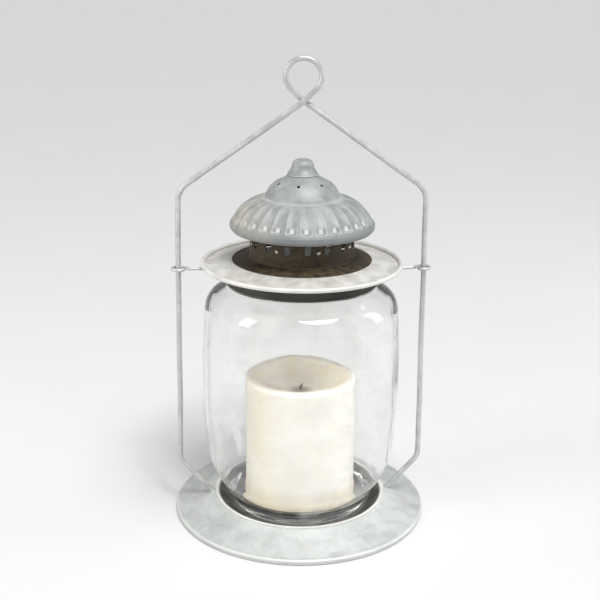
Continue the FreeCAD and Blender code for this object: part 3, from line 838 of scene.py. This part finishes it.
def candle_wax(material):
    """Pillar candle with a softly slumped rim round a shallow burnt hollow."""
    foot, top = low("candle_wax").z, high("candle_wax").z
    radius = high("candle_wax").x
    outline = [
        (0, foot),
        (radius, foot),
        (radius, top - 0.3 * MM),
        (HOLLOW_R, top - 0.3 * MM),
        (HOLLOW_FLOOR_R, top - HOLLOW_DEPTH),
        (0, top - HOLLOW_DEPTH),
    ]
    section = solid_section(outline, [b * MM for b in (1.5, 2.4, 2.6, 16)], 0.7 * MM)
    slump = wobble(21, 0.5 * MM, (1, 2, 3, 4), (8,))
    side = wobble(22, 0.16 * MM, (2, 3, 5, 8), (30, 75, 130))
    pool = wobble(23, 0.35 * MM, (2, 3, 4), (90, 160))

    def lift(s, r, z, angle):
        rim = np.clip((z - top + 8 * MM) / (8 * MM), 0, 1) ** 2
        inside = (z > foot + 40 * MM) & (r < HOLLOW_R)
        low_r = np.clip(r / (12 * MM), 0, 1)
        return slump(s * 0, angle) * rim * 0.6 - 0.25 * MM * rim + np.where(
            inside, pool(s, angle) * low_r, side(s, angle) * np.clip((z - foot) / (5 * MM), 0, 1))

    candle = turned("candle_wax_burnt", section, CANDLE_SEGMENTS, lift)
    finish_piece(candle, "candle", ["candle_wax"], material)


def candle_wick(material):
    """Short braided stub, curled over and burnt to char."""
    box_low, box_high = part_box("candle_wick")
    radius = (box_high.y - box_low.y) / 2
    floor = high("candle_wax").z - HOLLOW_DEPTH
    tip = Vector((box_high.x - radius, 0, box_high.z - 0.5 * MM))
    corners = [Vector((0, 0, box_low.z)), Vector((0, 0, floor + 2 * MM)), tip]
    path = bent_line(corners, [4 * MM], 0.25 * MM)

    def braid(s, total, angle):
        strand = 0.5 + 0.5 * math.cos(3 * angle - s / (0.55 * MM))
        burnt = max(0.0, 1 - (total - s) / (3.0 * MM))
        return (0.86 + 0.14 * strand) * (1 - 0.38 * burnt)

    wick = tube("candle_wick_braided", path, radius, 24, braid)
    finish_piece(wick, "candle", ["candle_wick"], material)


# ---------------------------------------------------------------- sliding top
TRAY_HOLE_R = 47.0 * MM
SLEEVE_R = 50.3 * MM           # middle of the sleeve's sheet
ROLL_R = 1.5 * MM              # outer radius of the tray's rolled rim


def top_tray(material):
    """Ring that slopes down to a rolled rim, with a few shallow dents."""
    edge = high("top_tray").x
    base_z = low("top_tray").z + SHEET / 2
    top_z = high("top_tray").z - SHEET / 2
    roll = ROLL_R - SHEET / 2
    bead_r, bead_z = edge - ROLL_R, base_z + roll
    line = [
        (TRAY_HOLE_R, top_z),
        (edge - 6.2 * MM, base_z),
        (bead_r + roll, base_z),
        (bead_r + roll, bead_z + roll),
        (bead_r - roll, bead_z + roll),
        (bead_r - roll, base_z + SHEET + 0.25 * MM),
    ]
    bends = [8 * MM] + [roll * 0.98] * 3
    uneven = wobble(31, 0.13 * MM, (2, 3, 5, 6), (50, 160))
    last = edge - 7 * MM

    def lift(s, r, z, angle):
        share = np.clip((r - TRAY_HOLE_R) / (last - TRAY_HOLE_R), 0, 1)
        return uneven(s, angle) * np.sin(math.pi * share)

    tray = turned("top_tray_spun", sheet_section(line, bends, 0.4 * MM), lift=lift)
    finish_piece(tray, "top", ["top_tray"], material)


EYE_R = 4.1 * MM
EYE_CORNERS = 6
EYE_MOUTH = math.radians(28)   # half of the angle that an eye leaves open


def solder_blob(name, centre, size, seed):
    """A small uneven lump of solder."""
    rng = random.Random(seed)
    waves = [(rng.randint(1, 4), rng.uniform(0, 6.28), rng.uniform(0.02, 0.09))
             for _ in range(4)]
    rings, sides = 14, 22
    vertices, faces = [], []
    for i in range(rings + 1):
        tilt = math.pi * i / rings
        for k in range(sides):
            angle = 2 * math.pi * k / sides
            bulge = sum(h * math.sin(n * angle + p + 2 * tilt) for n, p, h in waves)
            swell = 1 + bulge * math.sin(tilt)
            way = Vector((math.sin(tilt) * math.cos(angle), math.sin(tilt) * math.sin(angle),
                          math.cos(tilt)))
            reach = Vector((way.x * size.x, way.y * size.y, way.z * size.z))
            vertices.append(centre + reach * swell)
    for i in range(rings):
        for k in range(sides):
            m = (k + 1) % sides
            faces.append([i * sides + k, (i + 1) * sides + k, (i + 1) * sides + m, i * sides + m])
    return make_mesh(name, vertices, faces)


def joined(name, pieces):
    """One object from several."""
    whole = bmesh.new()
    for piece in pieces:
        whole.from_mesh(piece.data)
        bpy.data.objects.remove(piece)
    bmesh.ops.remove_doubles(whole, verts=whole.verts, dist=1e-7)
    mesh = bpy.data.meshes.new(name)
    whole.to_mesh(mesh)
    whole.free()
    mesh.set_sharp_from_angle(angle=WIRE_SHARP)
    made = bpy.data.objects.new(name, mesh)
    bpy.context.scene.collection.objects.link(made)
    return made


def guide_eye(side, material):
    """Wire eye round a frame leg, with the solder that holds its stem under the tray."""
    node = "guide_eye_left" if side < 0 else "guide_eye_right"
    box_low, box_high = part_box(node)
    radius = (box_high.z - box_low.z) / 2
    eye_z = (box_high.z + box_low.z) / 2
    far_x = max(abs(box_low.x), abs(box_high.x))
    root_x = min(abs(box_low.x), abs(box_high.x))
    leg_x = far_x - radius - EYE_R
    turn = (2 * math.pi - 2 * EYE_MOUTH) / EYE_CORNERS
    far = EYE_R / math.cos(turn / 2)
    corners = [(root_x, 0), (leg_x - EYE_R - 3.2 * MM, 0)]
    for k in range(EYE_CORNERS):
        angle = math.pi - EYE_MOUTH - turn * (k + 0.5)
        corners.append((leg_x + far * math.cos(angle), far * math.sin(angle)))
    last = math.pi + EYE_MOUTH
    corners.append((leg_x + EYE_R * math.cos(last), EYE_R * math.sin(last)))
    points = [Vector((side * x, y, eye_z)) for x, y in corners]
    path = bent_line(points, [2 * MM] + [EYE_R * 0.93] * EYE_CORNERS, 0.3 * MM)
    tilt = wobble(40 + side, 0.15 * MM, (0,), (150, 400))
    for place, s in zip(path, line_lengths(path)):
        place.z += float(tilt(s, 0))
    wire = tube(f"{node}_wire", path, radius, 20)
    tray_z = low("top_tray").z
    lump = Vector((side * (root_x + 3.4 * MM), 0, (eye_z + tray_z) / 2 + 0.5 * MM))
    blob = solder_blob(f"{node}_solder", lump, Vector((4.6, 3.0, 1.9)) * MM, 50 + side)
    eye = joined(f"{node}_bent", [wire, blob])
    finish_piece(eye, "top", [node], material)


BEAD_R = 1.9 * MM              # half length of the rounded end of a rib
BEAD_SPREAD = 1.5 * MM
BEAD_RISE = 1.5                # its height, as a share of FLUTE_HEIGHT
RIM_BENDS = [1.6 * MM, 2 * MM]
DOME_BEND = 24 * MM
DOME_SHOULDER = (9.5 * MM, 18.1 * MM)      # in from the rim and up from it
RIM_CURL = (2.0 * MM, 1.8 * MM)            # width and height of the dome's turned-in edge
RIM_BAND = 4.2 * MM            # top of the upright band, above that edge
SKIRT_LAP = 3.0 * MM           # the skirt goes this far in under the bell
BELL_SHOULDER = (3.7 * MM, 7.54 * MM)      # in from the bell's rim and up from it
BELL_NECK_R = 10.2 * MM
BELL_NECK_DROP = 3.4 * MM      # below the bell's top
BELL_TOP_R = 6.4 * MM
BELL_BENDS = [14 * MM, 6 * MM]
KNOB_WAIST_R = 7.2 * MM
KNOB_WAIST_RISE = 4.3 * MM     # above the knob's foot
KNOB_TOP_R = 6.5 * MM
KNOB_HOLE_R = 1.55 * MM
KNOB_BENDS = [7 * MM, 4.2 * MM]


def flute_height(r, z, angle, bead_z):
    """Height of the pressed ribs of the dome: each ends in a rounded bead above the rim."""
    pitch = 2 * math.pi / FLUTES
    off = np.abs((angle + pitch / 2) % pitch - pitch / 2)
    across = off / (pitch * FLUTE_FILL)
    past = np.clip((bead_z + BEAD_R - z) / BEAD_R, 0, 3)
    round_off = np.clip(1 - across ** 2 - past ** 2, 0, 1) ** 0.85
    fade = np.clip((r - FLUTE_START_R) / (10 * MM), 0, 1)
    fade = fade * fade * (3 - 2 * fade)
    bead = BEAD_RISE * np.exp(-((z - bead_z - BEAD_R) / BEAD_SPREAD) ** 2)
    return FLUTE_HEIGHT * round_off * (fade + bead)


def dome_sizes():
    """Rim radius and height of the dome, where its ribs end, and the bell's rim."""
    rim_r, rim_z = high("dome_skirt").x, low("dome_skirt").z + 0.24 * MM
    return rim_r, rim_z, rim_z + BEAD_ABOVE_RIM, high("dome_bell").x, low("dome_bell").z


def dome_skirt(material, inner):
    """Fluted lower part of the dome."""
    rim_r, rim_z, bead_z, bell_r, bell_z = dome_sizes()
    wall_r = rim_r - SHEET / 2
    line = [
        (rim_r - RIM_CURL[0], rim_z),
        (wall_r, rim_z + RIM_CURL[1]),
        (wall_r, rim_z + RIM_BAND),
        (rim_r - DOME_SHOULDER[0], rim_z + DOME_SHOULDER[1]),
        (bell_r - SKIRT_LAP, bell_z + 0.04 * MM),
    ]
    dents = wobble(61, 0.12 * MM, (1, 2, 3, 5), (60, 140))

    def lift(s, r, z, angle):
        free = np.clip((r - bell_r) / (4 * MM), 0, 1)
        return flute_height(r, z, angle, bead_z) + dents(s, angle) * free

    section = sheet_section(line, RIM_BENDS + [DOME_BEND], 0.42 * MM)
    skirt = turned("dome_skirt_fluted", section, FLUTES * FLUTE_SEGMENTS, lift)
    finish_piece(skirt, "top", ["dome_skirt"], material, inner)


def dome_bell(material, inner):
    """Plain upper part of the dome, with punched vent holes and a rolled lower edge."""
    _, _, _, rim_r, rim_z = dome_sizes()
    top_z = high("dome_bell").z - 0.26 * MM
    shoulder = Vector((rim_r - BELL_SHOULDER[0], 0, rim_z + BELL_SHOULDER[1]))
    neck = Vector((BELL_NECK_R, 0, top_z - BELL_NECK_DROP))
    line = [(rim_r - SHEET / 2, rim_z + 0.14 * MM), shoulder, neck, (BELL_TOP_R, top_z)]
    slope = (neck.z - shoulder.z) / (shoulder.x - neck.x)
    vent_z = shoulder.z + slope * (shoulder.x - VENT_RING_R)
    turns = [VENT_TURN + 2 * math.pi * k / VENTS for k in range(VENTS)]
    dents = wobble(71, 0.08 * MM, (1, 2, 3, 4), (80, 190))

    def lift(s, r, z, angle):
        raised = dents(s, angle) * np.clip(s / (4 * MM), 0, 1)
        raised = raised + 0.4 * MM * np.exp(-(s / (0.8 * MM)) ** 2)
        for turn in turns:
            off = (angle - turn + math.pi) % (2 * math.pi) - math.pi
            far = np.hypot(off * r, (r - VENT_RING_R) * math.hypot(1, slope))
            raised = raised - 0.22 * MM * np.exp(-(far / (2.0 * MM)) ** 2)
        return raised

    section = sheet_section(line, BELL_BENDS, 0.35 * MM)
    bell = turned("dome_bell_punched", section, SEGMENTS, lift)
    holes = []
    for turn in turns:
        side = Vector((math.sin(turn), -math.cos(turn), 0))
        way = (side * slope + AXIS).normalized()
        holes.append((side * VENT_RING_R + AXIS * vent_z, way, VENT_R, 6 * MM))
    cut_holes(bell, holes)
    finish_piece(bell, "top", ["dome_bell"], material, inner)


def finial_knob(material):
    """Hollow pressed knob, slightly dented."""
    foot_r, foot_z = high("finial_knob").x, low("finial_knob").z
    top_z = high("finial_knob").z - SHEET / 2
    line = [
        (foot_r - 0.28 * MM, foot_z + 0.2 * MM),
        (KNOB_WAIST_R, foot_z + KNOB_WAIST_RISE),
        (KNOB_TOP_R, top_z),
        (KNOB_HOLE_R, top_z),
    ]
    dents = wobble(81, 0.05 * MM, (1, 2, 3), (150, 330))

    def lift(s, r, z, angle):
        return dents(s, angle) * np.clip((top_z - z) / (2 * MM), 0, 1)

    section = sheet_section(line, KNOB_BENDS, 0.25 * MM)
    knob = turned("finial_knob_pressed", section, KNOB_SEGMENTS, lift)
    finish_piece(knob, "top", ["finial_knob"], material)


RIVET_R = 1.5 * MM
RIVET_HEAD_R = 2.6 * MM
WASHER = 0.8 * MM


def finial_rivet(material):
    """Rivet up through the knob, with a washer under the bell and a low domed head."""
    foot, top = low("finial_rivet").z, high("finial_rivet").z
    washer_r = high("finial_rivet").x
    seat = high("finial_knob").z
    outline = [
        (0, foot),
        (washer_r, foot),
        (washer_r, foot + WASHER),
        (RIVET_R, foot + WASHER),
        (RIVET_R, seat),
        (RIVET_HEAD_R, seat),
        (RIVET_R * 0.8, top),
        (0, top),
    ]
    bends = [b * MM for b in (0.3, 0.3, 0.2, 0.05, 0.05, 2.4)]
    rivet = turned("finial_rivet_set", solid_section(outline, bends, 0.2 * MM), RIVET_SEGMENTS)
    finish_piece(rivet, "top", ["finial_rivet"], material)


# ---------------------------------------------------------------- studio
CAMERA_PLACE = Vector((-0.0443, -0.7249, 0.3838))   # where the lantern is seen from
CAMERA_AIM = Vector((-0.001, 0, 0.152))
CAMERA_FIELD = math.radians(29.8)
CAMERA_ROLL = math.radians(0.6)


def camera():
    data = bpy.data.cameras.new("camera")
    data.sensor_width = 36.0
    data.lens = data.sensor_width / 2 / math.tan(CAMERA_FIELD / 2)
    made = bpy.data.objects.new("camera", data)
    bpy.context.scene.collection.objects.link(made)
    made.location = CAMERA_PLACE
    made.rotation_mode = "QUATERNION"
    look = (CAMERA_AIM - CAMERA_PLACE).to_track_quat("-Z", "Y")
    made.rotation_quaternion = look @ Quaternion((0, 0, 1), CAMERA_ROLL)
    bpy.context.scene.camera = made


def area_light(name, place, aim, size, power, colour, shape="RECTANGLE"):
    data = bpy.data.lights.new(name, "AREA")
    data.shape = shape
    data.size, data.size_y = size
    data.energy = power
    data.color = colour
    made = bpy.data.objects.new(name, data)
    bpy.context.scene.collection.objects.link(made)
    made.location = place
    made.rotation_mode = "QUATERNION"
    made.rotation_quaternion = (Vector(aim) - Vector(place)).to_track_quat("-Z", "Y")


def sun_light(place, power, width, colour):
    data = bpy.data.lights.new("sun", "SUN")
    data.energy = power
    data.angle = math.radians(width)
    data.color = colour
    made = bpy.data.objects.new("sun", data)
    bpy.context.scene.collection.objects.link(made)
    made.rotation_mode = "QUATERNION"
    made.rotation_quaternion = (-Vector(place)).to_track_quat("-Z", "Y")


def studio():
    """Pale floor, an even soft light from above, a little to the front and right, and panels
    that give the glass and the metal their highlights."""
    half = 60.0
    corners = [(-half, -half, 0), (half, -half, 0), (half, half, 0), (-half, half, 0)]
    floor = make_mesh("floor", corners, [[0, 1, 2, 3]])
    paint = Paint("floor", Roughness=0.8, Specular_IOR_Level=0.2)
    grain = paint.noise(9, 3, 0.5)
    paint.set("Base Color", paint.mix(grain, (0.66, 0.665, 0.67), (0.69, 0.695, 0.70)))
    floor.data.materials.append(paint.material)
    middle = (0, 0, 0.14)
    sun_light((0.28, -0.42, 1.15), 2.1, 34, (1.0, 0.985, 0.965))
    area_light("key", (0.2, -0.62, 1.1), middle, (0.2, 0.2), 4.0, (1.0, 0.99, 0.97), "ELLIPSE")
    area_light("left", (-1.0, -0.35, 0.55), middle, (0.3, 0.7), 4.0, (1.0, 0.97, 0.92))
    area_light("right", (1.1, 0.1, 0.5), middle, (0.3, 0.9), 2.5, (0.95, 0.97, 1.0))
    world = bpy.data.worlds.new("studio")
    world.use_nodes = True
    back = world.node_tree.nodes["Background"]
    back.inputs[0].default_value = (0.82, 0.83, 0.84, 1.0)
    back.inputs[1].default_value = 0.5
    bpy.context.scene.world = world
    bpy.context.scene.view_settings.view_transform = "Standard"


# ---------------------------------------------------------------- the lantern
def build():
    _, _, bead_z, bell_r, bell_z = dome_sizes()
    zinc_finish = base_zinc()
    tray_finish = tray_zinc()
    # dark sheet that paints the shade on the sleeve and on the inner faces of the dome
    painted_shade_finish = painted_shade_zinc(SLEEVE_R)
    dome_finish = dome_zinc(bead_z, bell_z, bell_r)
    wire_finish = wire_metal()
    rust_finish = rust()
    camera()
    studio()
    base_plate(zinc_finish)
    frame_wire(wire_finish)
    glass_globe(glass(high("glass_globe").z - GLASS_NECK))
    candle_wax(wax(high("candle_wax").z, HOLLOW_R))
    candle_wick(charred(high("candle_wax").z - HOLLOW_DEPTH, high("candle_wick").z))
    top_tray(tray_finish)
    guide_eye(-1, wire_finish)
    guide_eye(1, wire_finish)
    dome_skirt(dome_finish, painted_shade_finish)
    dome_bell(dome_finish, painted_shade_finish)
    finial_knob(dome_finish)
    finial_rivet(dome_finish)
    keep_node("base_pan", pan_zinc(high("base_pan").x - COLLAR_LIP))
    keep_node("base_rim_wire", zinc_finish)
    keep_node("tray_rim_wire", tray_finish)
    keep_node("neck_sleeve", painted_shade_finish)
    for node in ("gallery", "dome_straps"):
        keep_node(node, rust_finish)
    keep_node("strap_rivets", rivet_metal())
    keep_node("wick_tab", tin())


build()
